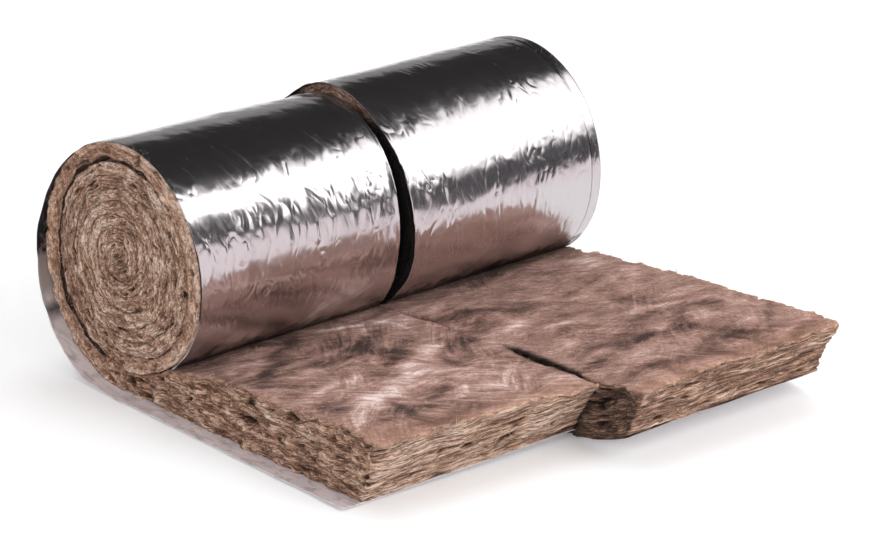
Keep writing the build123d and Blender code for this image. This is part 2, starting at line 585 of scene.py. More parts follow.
def stand_off(angle, seed):
    """Share of its thickness by which the first turn stands off from the next, up the back and over."""
    share = 0.28 * ease((1.22 * pi - angle) / (0.30 * pi)) * ease(angle / (0.3 * pi))
    return share * np.clip(0.75 + 1.4 * lumps(angle / 0.20, 0.5, 0.5, seed), 0, 1.7)


def turns_relief(y, z, t, angle, length, seed):
    """Relief of the roll's end face, in the folds and layers of its turns."""
    radius = first_turn_radius - inner_turn * angle / (2 * pi)
    bulge = np.sqrt(np.clip(1 - (2 * t - 1) ** 2, 0, 1)) - 1
    wave = 0.5 * lumps(length / 0.05, 0, 0, seed + 7)
    # Pits, most of them in the outer turns: real hollows, with painted shade in them too.
    pit_level = blend(-0.60, -0.42, ease((radius - 0.10) / 0.12))
    pit = ease((pit_level - lumps(length / 0.024, t * 4.2, 8.5, seed + 9)) / 0.20)
    return (
        0.0012 * bulge
        + 0.0045 * lumps(angle / 1.3, 0.5, 0.5, seed + 4)
        + 0.0036 * lumps(y / 0.028, z / 0.028, 0.5, seed + 5)
        + 0.0046 * np.abs(lumps(length / 0.060, t * 3.4 + wave, 0.5, seed + 6))
        + 0.0024 * lumps(length / 0.032, t * 6.5 + wave, 4.5, seed + 10)
        + 0.0036 * np.abs(lumps(y / 0.012, z / 0.012, 3.5, seed + 8))
        + 0.0010 * lumps(y / 0.006, z / 0.006, 3.5, seed + 11)
        - 0.009 * pit
        - 0.0045
    )


def turns(name, outer, slit, seed):
    """Rolled part of one half: one long band of wool, wound up to the eye."""
    block = new_block(name, *turns_cells)
    u, v, t = cells(block, turns_cells[2])
    inwards = np.sign(slit.x - outer.x)
    slit_x = slit.x - inwards * (creep + wool_behind_foil)
    across, x, from_outer, from_slit = spread(u, outer.x, slit_x, 0.8)
    # Steps along the band shorten towards the eye with the turns themselves.
    shortening = 0.985
    wound_share = (1 - (1 - v * shortening) ** 0.5) / (1 - (1 - shortening) ** 0.5)
    angle = 2 * pi * turn_count * wound_share
    first = angle < 2 * pi
    gap = stand_off(angle, seed + 1)
    depth = t * (1 - gap)
    inside = ease((np.minimum(from_outer, from_slit) - 0.012) / 0.02)
    near_outer = near(from_outer, roll_face)
    near_slit = near(from_slit, roll_face)

    sides = []
    for station in (outer, slit):
        outer_y, outer_z = station.turns(angle)
        inner_y, inner_z = station.turns(angle + 2 * pi)
        y = blend(outer_y, inner_y, depth)
        z = blend(outer_z, inner_z, depth)
        middle = station.height / 2
        away = np.maximum(np.hypot(y, z - middle), 0.004)
        meander = 0.0048 * lumps(y / 0.040, z / 0.040, 0.5, seed + 2)
        meander = meander + 0.0030 * lumps(y / 0.014, z / 0.014, 2.5, seed + 3)
        # The foil side of the first turn stays smooth, just inside the foil.
        meander = np.where(first, meander * ease(t / 0.5) - 0.003 * inside * (1 - t), meander)
        y = y + y / away * meander
        z = z + (z - middle) / away * meander
        sides.append(station.placed(y, z) + (station.bumps(y, z, station.pulls),))
    (outer_y, outer_z, _), (slit_y, slit_z, pull) = sides
    x = x - inwards * pull * across ** 6
    y = blend(outer_y, slit_y, across)
    z = blend(outer_z, slit_z, across)

    length = first_turn_radius * angle - inner_turn * angle ** 2 / (4 * pi)
    proud = 0.006 if inwards > 0 else -0.002
    relief = turns_relief(y, z, t, angle, length, seed) + np.where(first, proud * (1 - t) ** 3, 0.0)
    x = x - inwards * relief * near_outer + inwards * relief * near_slit
    shape(block, x, y, z)
    face_outwards(block)

    # Painted shade lines between the turns, and a fainter one in the middle of each inner turn.
    edge = np.minimum(t, 1 - t) * inner_turn * np.where(first, 1.6, 1.0)
    mid_line = np.abs(t - 0.52) * inner_turn * 1.5 + 0.0006
    # Painted shade deep between the halves, less near their top, and where the first turn stands off.
    lit = ease((z / slit.height - 0.88) / 0.08)
    below_first = (t < 0.03) & ~first
    crevice_shade = np.where(t > 0.97, gap, 0.0) + np.where(below_first, stand_off(angle - 2 * pi, seed + 1), 0.0)
    crevice_shade = 0.92 * ease(crevice_shade / 0.10) * near_outer
    tone = 0.5 * lumps(y / 0.07, z / 0.07, 1.5, seed + 12)
    tone = tone + 0.35 * lumps(angle / 0.9, t * 1.5, 0.5, seed + 13)
    radius = np.maximum(first_turn_radius - inner_turn * angle / (2 * pi), 0.01)
    grown = (0.12 + 0.5 * (edge < 0.003)) * near_outer * (radius / first_turn_radius)
    mark(
        block,
        blanket=np.stack([x, length * 2.2, t * inner_turn * 1.3], axis=1),
        # Painted shade in the hollows of the end face.
        hollow=(-relief / 0.0055 - 0.3) * near_outer,
        cut=np.clip(near_outer + near_slit, 0, 1),
        # Painted shade on the slit end, and in the crevices where the first turn stands off.
        slit=np.maximum(near_slit * blend(1.0, 0.25, lit), crevice_shade),
        # Painted highlight along the outer edge of the first turn's end.
        rim=0.5 * np.where(first, 1 - t, 0.0) * near_outer,
        warm=np.where(first, 0.6, 0.15) * near_outer,
        tone=tone + np.where(first, 0.0, 0.55),
        ring=np.where(first, edge, np.minimum(edge, mid_line)),
        fibres=grown * (from_outer < 0.004),
    )
    return block


# Loose fibres

def unit(vectors):
    return vectors / np.linalg.norm(vectors, axis=1, keepdims=True)


def fibre_row(name, count):
    """Row of thin spikes, from one three-sided spike repeated at even steps."""
    deselect()
    bpy.ops.mesh.primitive_circle_add(vertices=3, radius=1, fill_type="NGON")
    fibre = bpy.context.object
    fibre.name = name
    edit_all()
    pull_up(fibre_levels)
    bpy.ops.mesh.merge(type="CENTER")
    bpy.ops.object.mode_set(mode="OBJECT")
    row = fibre.modifiers.new("row", "ARRAY")
    row.count = count
    row.use_relative_offset = False
    row.use_constant_offset = True
    row.constant_offset_displace = (fibre_step, 0, 0)
    bpy.ops.object.modifier_apply(modifier="row")
    return fibre


def wool_faces(hosts):
    """Corners of the wool's faces, and how thickly fibres grow on each face."""
    corners, grown = [], []
    for host in hosts:
        mesh = host.data
        faces = np.empty(len(mesh.loops), dtype=np.int32)
        mesh.loops.foreach_get("vertex_index", faces)
        faces = faces.reshape(-1, 4)
        weight = np.empty(len(mesh.vertices), dtype=np.float32)
        mesh.attributes["fibres"].data.foreach_get("value", weight)
        corners.append(points_of(host)[faces])
        grown.append(weight[faces].astype(float).mean(axis=1))
    corners = np.concatenate(corners)
    grown = np.concatenate(grown).round(4)
    # Blender may number the faces and corners otherwise in another run, so both are put in order.
    order = np.lexsort(corners.mean(axis=1).round(6).T)
    corners, grown = corners[order], grown[order]
    lowest = np.argmin(corners @ [0.73, 0.41, 0.98], axis=1)
    from_lowest = (lowest[:, None] + np.arange(4)) % 4
    return np.take_along_axis(corners, from_lowest[:, :, None], axis=1), grown


def loose_fibres(name, hosts, count, seed):
    """Loose fibres that stand out of the wool: one thin tapered fibre, repeated."""
    fibre = fibre_row(name, count)

    # Each fibre's root is a place on a face of the wool, picked at random.
    corners, grown = wool_faces(hosts)
    side_a = corners[:, 1] - corners[:, 0]
    side_b = corners[:, 3] - corners[:, 0]
    normal = np.cross(side_a, side_b)
    area = np.maximum(np.linalg.norm(normal, axis=1), 1e-12)
    chance = grown * area
    random = np.random.default_rng(seed)
    picked = random.choice(len(chance), size=count, p=chance / chance.sum())
    a, b = random.random((2, count, 1))
    root = corners[picked, 0] + side_a[picked] * a + side_b[picked] * b
    out = normal[picked] / area[picked][:, None]

    # It heads out and to one side, and curls over.
    sway = random.normal(size=(count, 3))
    sway = unit(sway - out * (sway * out).sum(axis=1, keepdims=True))
    rise = blend(0.20, 0.60, np.clip(grown[picked] / 0.8, 0, 1))[:, None]
    rise = rise * random.uniform(0.3, 1.4, (count, 1))
    heading = unit(out * rise + sway)
    curl = random.normal(size=(count, 3)) * 0.55 - out * 0.25
    size = random.uniform(0.005, 0.015, (count, 1, 1))
    thickness = random.uniform(0.00022, 0.00048, (count, 1, 1))

    points = points_of(fibre).reshape(count, -1, 3)
    points[:, :, 0] -= fibre_step * np.arange(count)[:, None]
    share = points[:, :, 2:] / fibre_levels
    spine = root[:, None] - out[:, None] * 0.001
    spine = spine + size * (share * heading[:, None] + share ** 2 * curl[:, None])
    first_side = unit(np.cross(heading, [0.3, 0.5, 0.8]))
    second_side = np.cross(heading, first_side)
    ring = points[:, :, :1] * first_side[:, None] + points[:, :, 1:2] * second_side[:, None]
    places = spine + ring * thickness * (1 - 0.6 * share)
    places[:, :, 2] = np.maximum(places[:, :, 2], base)
    move_points(fibre, places)
    face_outwards(fibre)
    shade = np.repeat(random.uniform(-1, 1, (count, 1)), points.shape[1], axis=1)
    mark(fibre, tone=shade.ravel())
    return fibre


# Foil

def foil_route(station, share, clear):
    """Point on the foil band and its outward direction: under the mat, up the back and over."""
    arcs = (
        (1, station.height / 2, station.height / 2, pi),
        (-1, first_turn + station.front_radius(), station.front_radius(), pi - foil_end_angle),
    )
    lengths = np.array([station.reach + station.axis] + [sweep * radius for _, _, radius, sweep in arcs])
    stops = np.concatenate([[0], np.cumsum(lengths)]) / lengths.sum()
    y = np.interp(share, stops[:2], [-station.reach, station.axis])
    z = station.underside(y) - clear
    slope = -2 * station.curl * station.along_curl(y) / station.curl_length
    normal_y, normal_z = slope / np.hypot(slope, 1), -1 / np.hypot(slope, 1)
    for i, (sign, centre, radius, sweep) in enumerate(arcs, 1):
        on_arc = share > stops[i]
        angle = sweep * (share - stops[i]) / (stops[i + 1] - stops[i])
        normal_y = np.where(on_arc, sign * np.sin(angle), normal_y)
        normal_z = np.where(on_arc, -sign * np.cos(angle), normal_z)
        y = np.where(on_arc, station.axis + (radius + clear) * normal_y, y)
        z = np.where(on_arc, centre + (radius + clear) * normal_z, z)
    shift_y, shift_z = station.out_of_round(y - station.axis, z)
    on_roll = share > stops[1]
    return y + np.where(on_roll, shift_y, 0), z + np.where(on_roll, shift_z, 0), normal_y, normal_z


def creases(x, length, from_outer, from_slit, seed):
    """Dents and sharp creases of the facing, and ribs and a lifted edge along the slit."""
    settle = blend(0.3, 1.0, ease(from_slit / 0.02) * ease((from_outer + 0.004) / 0.02))
    turn = 0.02 * lumps(x / 0.09, length / 0.09, 6.5, seed + 3)
    crumpled = blend(0.5, 1.9, ease(0.5 + 1.2 * lumps(x / 0.16, length / 0.12, 7.5, seed + 4)))
    dent = 0.0016 * lumps(x / 0.11, length / 0.20, 0.5, seed)
    fold = np.abs(lumps((x + turn) / 0.055, (length + turn) / 0.085, 2.5, seed + 1))
    small_fold = np.abs(lumps((x - turn) / 0.024, (length + turn) / 0.040, 4.5, seed + 2))
    crease = dent + (0.0011 * fold + 0.0006 * small_fold) * crumpled - 0.0006
    rib = 0.0009 * lumps(x / 0.009, length / 0.14, 5.5, seed + 7) * near(from_slit, 0.035)
    lifted = 0.25 + 0.75 * np.abs(lumps(length / 0.035, 0.5, 0.5, seed + 8))
    return crease * settle + rib + 0.0045 * near(from_slit, 0.008) * lifted


def bare_strip(x, y, z, length, beyond, outer, seed):
    """Bare strip past the wool's end: how far out it reaches, and how it waves, flares and lifts."""
    height = z / outer.height
    at_back = y - outer.axis > -0.02
    span = np.where(
        at_back,
        flange_width * np.clip(0.985 - height, 0, 1) ** 1.18,
        flange_width * ease((0.030 - z) / 0.014),
    )
    wave = 0.0030 * lumps(length / 0.07, 0.5, 0.5, seed + 5)
    wave = wave + 0.0015 * lumps(length / 0.02, 0.5, 0.5, seed + 9)
    x = x - (span * beyond + wave * beyond ** 4)
    flare = 0.003 * beyond ** 2 * ease(z / 0.05) * ease((0.9 - height) / 0.3)
    crumple = 0.0025 * beyond * lumps(x / 0.03, length / 0.030, 3.5, seed + 10) * ease(z / 0.03)
    curl = 0.3 + 0.7 * np.abs(lumps(length / 0.11, 1.5, 0.5, seed + 6))
    lift = 0.009 * beyond ** 2 * curl * ease((0.02 - z) / 0.02)
    return x, flare + crumple - lift


def foil(name, outer, slit, has_strip, skins, seed):
    """Foil facing of one half, creased all over, with a thin wall."""
    sheet = new_sheet(name, *foil_cells)
    for skin in skins:
        sheet.data.materials.append(skin)
    u, v, _ = cells(sheet)
    inwards = np.sign(slit.x - outer.x)
    slit_x = slit.x - inwards * creep
    strip = strip_columns / foil_cells[0] if has_strip else 0
    on_wool = np.clip((u - strip) / (1 - strip), 0, 1)
    across, x, from_outer, from_slit = spread(on_wool, outer.x, slit_x, 0.5)
    clear = foil_clearance + foil_thickness / 2
    sections = [foil_route(station, v, clear) for station in (outer, slit)]
    y, z, normal_y, normal_z = (blend(a, b, across) for a, b in zip(*sections))
    size = np.hypot(normal_y, normal_z)
    slit_y, slit_z = sections[1][:2]

    length = v * foil_length
    on_roll = ease((z - 0.004) / 0.05)
    pull = slit.bumps(slit_y - slit.axis, slit_z, slit.pulls)
    x = x - inwards * pull * across ** 6 * on_roll
    crease = creases(x, length, from_outer, from_slit, seed) * on_roll
    ragged = 0.0016 * rough(length / 0.014, 0.5, 0.5, seed + 11, 2)
    x = x + inwards * ragged * near(from_slit, 0.006) * on_roll
    if has_strip:
        beyond = np.clip(1 - u / strip, 0, 1)
        x, strip_crease = bare_strip(x, y, z, length, beyond, outer, seed)
        crease = crease * (1 - beyond) + strip_crease
    else:
        # Line of the joint near the end of the roll.
        crease = crease - 0.0013 * near(from_outer - joint_inset, 0.0032) * on_roll

    shape(sheet, x, y + normal_y / size * crease, z + normal_z / size * crease)
    mark(sheet, facing=np.stack([x, length, np.zeros_like(x)], axis=1))
    wall = sheet.modifiers.new("wall", "SOLIDIFY")
    wall.thickness = foil_thickness
    wall.offset = 0.0
    wall.material_offset = len(skins) - 1
    pick(sheet)
    bpy.ops.object.modifier_apply(modifier="wall")
    face_outwards(sheet)
    return sheet


# Materials

class Value:
    """Number on a socket, on which sums are written as Python."""

    def __init__(self, paint, socket):
        self.paint = paint
        self.socket = socket

    def __add__(self, other):
        return self.paint.math("ADD", self, other)

    def __sub__(self, other):
        return self.paint.math("SUBTRACT", self, other)

    def __rsub__(self, other):
        return self.paint.math("SUBTRACT", other, self)

    def __mul__(self, other):
        return self.paint.math("MULTIPLY", self, other)

    def __abs__(self):
        return self.paint.math("ABSOLUTE", self)


class Paint:
    """Nodes of one material or world."""

    def __init__(self, owner):
        self.owner = owner
        owner.use_nodes = True
        self.tree = owner.node_tree
        self.tree.nodes.clear()

    def add(self, kind, sockets=None, settings=None, output=0):
        node = self.tree.nodes.new(kind)
        for name, setting in (settings or {}).items():
            setattr(node, name, setting)
        for name, value in (sockets or {}).items():
            if isinstance(value, Value):
                self.tree.links.new(value.socket, node.inputs[name])
            else:
                node.inputs[name].default_value = value
        return Value(self, node.outputs[output])

    def math(self, operation, *values):
        return self.add("ShaderNodeMath", dict(enumerate(values)), {"operation": operation})

    def place(self):
        return self.add("ShaderNodeTexCoord", output="Object")

    def kept(self, name, output="Fac"):
        """What was marked on the piece: a number, or with the output Vector a place."""
        return self.add("ShaderNodeAttribute", settings={"attribute_name": name}, output=output)

    def part(self, vector, axis):
        return self.add("ShaderNodeSeparateXYZ", {"Vector": vector}, output="XYZ".index(axis))

    def noise(self, vector, scale, detail=3.0, roughness=0.5, distortion=0.0, output=0):
        sockets = {"Vector": vector, "Scale": scale, "Detail": detail}
        sockets.update({"Roughness": roughness, "Distortion": distortion})
        return self.add("ShaderNodeTexNoise", sockets, output=output)

    def stretched(self, vector, size, turn=0.0, offset=(0, 0, 0)):
        sockets = {"Vector": vector, "Scale": size, "Rotation": (0, 0, turn), "Location": offset}
        return self.add("ShaderNodeMapping", sockets, {"vector_type": "TEXTURE"})

    def grain(self, vector, size, detail, roughness=0.5, distortion=0.0, turn=0.0, offset=(0, 0, 0)):
        """Noise whose lumps have these sizes in metres, turned about the vertical."""
        return self.noise(self.stretched(vector, size, turn, offset), 1.0, detail, roughness, distortion)

    def between(self, value, low, high, to_low=0.0, to_high=1.0):
        """Smooth step from one value to another."""
        sockets = {"Value": value, "From Min": low, "From Max": high, "To Min": to_low, "To Max": to_high}
        return self.add("ShaderNodeMapRange", sockets, {"interpolation_type": "SMOOTHSTEP"})

    def mixed(self, share, a, b):
        return self.add("ShaderNodeMix", {0: share, 6: a, 7: b}, {"data_type": "RGBA"}, 2)

    def ramp(self, share, *stops):
        """Colour that runs through stops, each a place and its 0 to 255 screen values."""
        shade = self.add("ShaderNodeValToRGB", {"Fac": share})
        elements = shade.socket.node.color_ramp.elements
        while len(elements) < len(stops):
            elements.new(1.0)
        for element, (place, *screen) in zip(elements, stops):
            element.position = place
            element.color = linear(*screen)
        return shade

    def pushed(self, vector, by, amount):
        """Vector moved by a noise colour, which bends the pattern that reads it."""
        centred = self.add("ShaderNodeVectorMath", {0: by, 1: (0.5, 0.5, 0.5)}, {"operation": "SUBTRACT"})
        scaled = self.add("ShaderNodeVectorMath", {0: centred, "Scale": amount}, {"operation": "SCALE"})
        return self.add("ShaderNodeVectorMath", {0: vector, 1: scaled}, {"operation": "ADD"})

    def seen(self):
        """1 for rays from the camera, off a shiny piece or through a clear one, and 0 for the rest."""
        camera, glossy, clear = (
            self.add("ShaderNodeLightPath", output=f"Is {kind} Ray")
            for kind in ("Camera", "Glossy", "Transmission")
        )
        return self.math("MAXIMUM", camera, self.math("MAXIMUM", glossy, clear))

    def principled(self, sockets):
        return self.surface(self.add("ShaderNodeBsdfPrincipled", sockets))

    def surface(self, shader, end="ShaderNodeOutputMaterial"):
        output = self.tree.nodes.new(end)
        self.tree.links.new(shader.socket, output.inputs["Surface"])
        return self.owner


def new_paint(name):
    return Paint(bpy.data.materials.new(name))


def linear(*screen):
    """Colour from its 0 to 255 screen values."""
    shares = [c / 255 for c in screen]
    return *(c / 12.92 if c <= 0.04 else ((c + 0.055) / 1.055) ** 2.4 for c in shares), 1.0


def mat_shade(paint, place, tone, fuzz):
    """How light the top of a mat is, and its height: fibres brushed this way and that."""
    bent = paint.pushed(place, paint.noise(place, 3.2, 1.0, 0.4, output=1), 0.10)
    brushed = [
        paint.grain(bent, (0.130, width, 0.05), 5.0, 0.62, 0.40, turn, (turn, 0, 0))
        for turn, width in ((0.15, 0.024), (0.90, 0.013), (-0.75, 0.014))
    ]
    first_way = paint.between(paint.noise(place, 5.5, 1.0, 0.5), 0.45, 0.55)
    elsewhere = paint.stretched(place, (1, 1, 1), offset=(3, 5, 0))
    last_way = 1 - paint.between(paint.noise(elsewhere, 6.5, 1.0, 0.5), 0.42, 0.54)
    streak = brushed[0] * first_way + brushed[1] * (1 - first_way)
    streak = streak * (1 - last_way) + brushed[2] * last_way
    cloud = paint.grain(bent, (0.105, 0.058, 0.05), 3.0, 0.52, 0.8, 0.2)
    wisp = abs(paint.grain(bent, (0.120, 0.045, 0.05), 3.0, 0.55, 0.8, -0.3) - 0.5)
    felt = paint.grain(place, (0.015, 0.026, 0.026), 5.0, 0.66, 1.3, 0.2)
    # The left mat is the more combed of the two.
    combed = paint.between(paint.part(place, "X"), -0.03, 0.07, 0.85, 0.42)
    shade = (streak - 0.5) * combed + (felt - 0.5) * 0.55 + (fuzz - 0.5) * 0.45 + (cloud - 0.5) * 0.50
    shade = shade + paint.between(wisp, 0.0, 0.045, 1.0, 0.0) * 0.12 + 0.41
    # The light strands lie over the dark patches and the painted shade of the hollows.
    strand = paint.between(streak, 0.38, 0.64)
    shade = shade + paint.math("MAXIMUM", tone, 0.0) * (strand * 0.09 + 0.08)
    shade = shade + paint.math("MINIMUM", tone, 0.0) * (0.13 - strand * 0.05)
    return shade, streak * 0.14 + felt * 0.16 + fuzz * 0.14 + cloud * 0.10


def wool_material():
    paint = new_paint("brown_mineral_wool")
    place = paint.place()
    blanket = paint.kept("blanket", "Vector")
    hollow, cut, slit, rim, warm, tone, ring = (
        paint.kept(name) for name in ("hollow", "cut", "slit", "rim", "warm", "tone", "ring")
    )
    fuzz = paint.noise(place, 240.0, 3.0, 0.6)
    top_shade, top_height = mat_shade(paint, place, tone, fuzz)
    top = paint.ramp(
        top_shade,
        (0.00, 58, 37, 31),
        (0.25, 108, 79, 69),
        (0.50, 156, 121, 109),
        (0.75, 198, 168, 159),
        (1.00, 233, 215, 212),
    )

    # Layers and clumps seen on the cut faces.
    wavy = paint.pushed(blanket, paint.noise(blanket, 24.0, 2.0, 0.5, output=1), 0.018)
    layer = paint.grain(wavy, (0.060, 0.060, 0.0075), 5.0, 0.62, 0.3)
    fibre = paint.grain(wavy, (0.020, 0.020, 0.0020), 4.0, 0.70)
    crack = abs(paint.grain(wavy, (0.050, 0.050, 0.0085), 3.0, 0.6, 0.4, offset=(0.4, 0, 0.03)) - 0.5)
    beside_crack = paint.between(crack, 0.004, 0.055)
    cut_shade = (layer - 0.5) * 1.8 + (fibre - 0.5) * 2.0 + (fuzz - 0.5) * 0.6
    # The cut faces' shade takes painted light on the fronts and outer sides from the tone, and painted
    # shade from the hollow shade.
    side = paint.ramp(
        cut_shade + tone * 0.22 - hollow * 0.34 + 0.60,
        (0.00, 44, 28, 21),
        (0.25, 103, 74, 58),
        (0.50, 158, 120, 99),
        (0.75, 200, 163, 140),
        (1.00, 232, 208, 190),
    )
    # Painted shade in the cracks between layers and in the deepest pits.
    side = paint.mixed((1 - beside_crack) * 0.75, side, linear(58, 38, 28))
    side = paint.mixed(paint.between(hollow, 0.9, 1.7) * 0.8, side, linear(34, 21, 15))

    # Painted shade lines between the turns, which show only here and there.
    wander = (paint.noise(blanket, 90.0, 2.0, 0.5) - 0.5) * 0.007
    ring_shade = paint.between(ring + wander, 0.0002, 0.0022, 1.0, 0.0)
    shown = paint.between(paint.noise(blanket, 14.0, 1.0, 0.5), 0.45, 0.62, 0.0, 0.45)
    side = paint.mixed(ring_shade * shown, side, linear(66, 44, 33))

    colour = paint.mixed(cut, top, side)
    colour = paint.mixed(warm * 0.22, colour, linear(188, 140, 112))
    # Painted highlight along the top edges, broken up in places.
    frayed = paint.between(paint.noise(place, 45.0, 3.0, 0.6), 0.44, 0.62)
    colour = paint.mixed(rim * frayed * 0.65, colour, linear(222, 180, 148))
    # Painted shade in the slit and in the crevices between the turns, near black.
    colour = paint.mixed(slit, colour, linear(14, 9, 7))
    cut_height = layer * 0.55 + fibre * 0.40 + beside_crack * 0.10 - ring_shade * 0.25
    height = cut_height * cut + top_height * (1 - cut)
    return paint.principled({
        "Base Color": colour,
        "Roughness": 0.95,
        "Normal": paint.add("ShaderNodeBump", {"Strength": 1.0, "Distance": 0.007, "Height": height}),
        "Specular IOR Level": 0.15,
        "Sheen Weight": 0.05,
        "Sheen Roughness": 0.6,
    })


def fibre_material():
    paint = new_paint("loose_wool_fibres")
    patch = paint.noise(paint.place(), 22.0, 2.0, 0.5)
    shade = paint.kept("tone") * 0.35 + (patch - 0.5) * 1.5 + 0.55
    return paint.principled({
        "Base Color": paint.ramp(shade, (0.0, 96, 72, 60), (0.5, 170, 140, 122), (1.0, 226, 204, 188)),
        "Roughness": 0.9,
        "Specular IOR Level": 0.2,
    })


def crinkled(paint, place, height):
    """Crinkles of the facing as a bump, and the streaks where it is rubbed."""
    facing = paint.kept("facing", "Vector")
    bent = paint.pushed(place, paint.noise(place, 7.0, 2.0, 0.5, output=1), 0.06)
    broad = paint.noise(bent, 13.0, 2.0, 0.5)
    crease = abs(paint.grain(bent, (0.034, 0.060, 0.060), 1.0, 0.5, 0.3, 0.2) - 0.5)
    crumpled = paint.between(paint.noise(place, 7.5, 2.0, 0.5), 0.44, 0.62, 0.20, 1.3)
    # Upright creases, sharpest across the front.
    rib = abs(paint.grain(facing, (0.030, 0.065, 1.0), 0.6, 0.5, 0.5, 0.15) - 0.5)
    ribbed = paint.between(paint.grain(facing, (0.09, 0.09, 1.0), 1.0), 0.44, 0.60, 0.4, 1.2)
    ribbed = ribbed * paint.between(height, 0.40, 0.47, 1.0, 0.12)
    rubbed = paint.grain(facing, (0.008, 0.13, 1.0), 4.0, 0.58, 0.2, -0.30)
    relief = broad * 0.35 + crease * 0.80 * crumpled + rib * 1.15 * ribbed + rubbed * 0.003
    return paint.add("ShaderNodeBump", {"Strength": 0.8, "Distance": 0.0045, "Height": relief}), rubbed


def foil_material():
    paint = new_paint("crinkled_foil")
    place = paint.place()
    height = paint.part(place, "Z")
    bump, rubbed = crinkled(paint, place, height)
    # Duller low down, and painted shade where it meets the mat.
    roughness = paint.between(rubbed, 0.50, 0.75, 0.18, 0.28) + paint.between(height, 0.17, 0.30, 0.12, 0.0)
    ragged = (paint.noise(place, 26.0, 3.0, 0.6) - 0.5) * 0.14
    length = paint.part(paint.kept("facing", "Vector"), "Y")
    nip_shade = paint.between(length + ragged, foil_length - 0.065, foil_length - 0.012)
    colour = paint.mixed(nip_shade * 0.92, (0.72, 0.675, 0.69, 1.0), (0.05, 0.04, 0.035, 1.0))
    # Line of the joint near the right end.
    from_joint = abs(paint.part(place, "X") - (far_high.x - joint_inset))
    joint = paint.between(from_joint, 0.0006, 0.0026, 0.45, 0.0)
    return paint.principled({
        "Base Color": paint.mixed(joint, colour, (0.05, 0.05, 0.055, 1.0)),
        "Metallic": 1.0,
        "Roughness": roughness,
        "Normal": bump,
    })


def facing_back_material():
    """Inner side of the facing, which shows on the bare strip, with reflections painted into its colour."""
    paint = new_paint("back_of_facing")
    place = paint.place()
    height = paint.part(place, "Z")
    bump, _ = crinkled(paint, place, height)
    patch = paint.grain(place, (0.05, 0.07, 0.07), 4.0, 0.6)
    level = height * 1.75 + (patch - 0.5) * 0.06
    # Painted reflections by height: pale low down, then dark and pale bands, and near black higher up.
    colour = paint.ramp(
        level,
        (0.000, 242, 233, 235),
        (0.180, 208, 196, 196),
        (0.215, 84, 78, 78),
        (0.250, 186, 176, 174),
        (0.290, 150, 138, 133),
        (0.410, 124, 113, 108),
        (0.432, 18, 16, 18),
        (0.610, 15, 14, 16),
        (0.640, 24, 22, 23),
        (0.900, 38, 36, 38),
    )
    # Painted darker patches of the crinkles' shade and reflections.
    mottle = paint.grain(place, (0.020, 0.045, 0.045), 5.0, 0.66, 0.6)
    mottled = paint.between(mottle, 0.46, 0.68, 0.0, 0.55)
    return paint.principled({
        "Base Color": paint.mixed(mottled, colour, linear(140, 127, 127)),
        "Metallic": paint.between(level, 0.15, 0.42, 0.3, 0.0),
        "Roughness": 0.40,
        "Normal": bump,
        "Specular IOR Level": 0.25,
    })


# Studio

def camera(place, azimuth, elevation, roll, lens):
    """Camera at a place, whose angles are in degrees."""
    a, e, r = radians(azimuth), radians(elevation), radians(roll)
    back = Vector((sin(a) * cos(e), -cos(a) * cos(e), sin(e)))
    right = Vector((cos(a), sin(a), 0))
    up = back.cross(right)
    axes = Matrix((cos(r) * right + sin(r) * up, -sin(r) * right + cos(r) * up, back))
    deselect()
    bpy.ops.object.camera_add()
    view = bpy.context.object
    view.data.sensor_width = 36
    view.data.lens = lens
    view.data.clip_end = 60
    view.matrix_world = Matrix.Translation(place) @ axes.transposed().to_4x4()
    bpy.context.scene.camera = view


def floor():
    """Pale floor that glows a little where it is seen."""
    deselect()
    bpy.ops.mesh.primitive_plane_add(size=60)
    ground = bpy.context.object
    ground.name = "floor"
    paint = new_paint("pale_floor")
    pale = paint.add("ShaderNodeBsdfDiffuse", {"Color": (0.88, 0.88, 0.88, 1)})
    glow = paint.add("ShaderNodeEmission", {"Color": (1, 1, 1, 1), "Strength": paint.seen() * 0.105})
    ground.data.materials.append(paint.surface(paint.add("ShaderNodeAddShader", {0: pale, 1: glow})))


def world():
    """White where it is seen, and greyer as a light."""
    paint = Paint(bpy.data.worlds.new("studio"))
    shade = paint.mixed(paint.seen(), (0.61, 0.61, 0.62, 1), (1, 1, 1, 1))
    background = paint.add("ShaderNodeBackground", {"Color": shade})
    bpy.context.scene.world = paint.surface(background, "ShaderNodeOutputWorld")
    bpy.context.scene.view_settings.view_transform = "Standard"


def card(name, corners, shade):
    """Studio card, seen only in reflections."""
    deselect()
    bpy.ops.mesh.primitive_plane_add(size=2)
    board = bpy.context.object
    board.name = name
    for i, corner in zip((0, 1, 3, 2), corners):
        board.data.vertices[i].co = corner
    paint = new_paint(name)
    glow = paint.add("ShaderNodeEmission", {"Color": (*shade, 1), "Strength": 1.0})
    board.data.materials.append(paint.surface(glow))
    board.visible_camera = False
    board.visible_diffuse = False
    board.visible_shadow = False
    board.visible_transmission = False


def level_card(name, left, right, front, back, z, shade):
    card(name, [(left, front, z), (right, front, z), (right, back, z), (left, back, z)], shade)


def upright_card(name, y, left, right, shade):
    """Card that faces the front, each of whose sides is a place in x, its lower and its upper end."""
    lower = [(left[0], y, left[1]), (right[0], y, right[1])]
    card(name, lower + [(right[0], y, right[2]), (left[0], y, left[2])], shade)


def lamp(kind, name, place, target, power):
    deselect()
    bpy.ops.object.light_add(type=kind, location=place)
    light = bpy.context.object
    light.name = name
    light.data.energy = power
    light.rotation_euler = (Vector(target) - Vector(place)).to_track_quat("-Z", "Y").to_euler()
    return light


def softbox(name, place, target, size, power):
    box = lamp("AREA", name, place, target, power)
    box.data.shape = "RECTANGLE"
    box.data.size, box.data.size_y = size


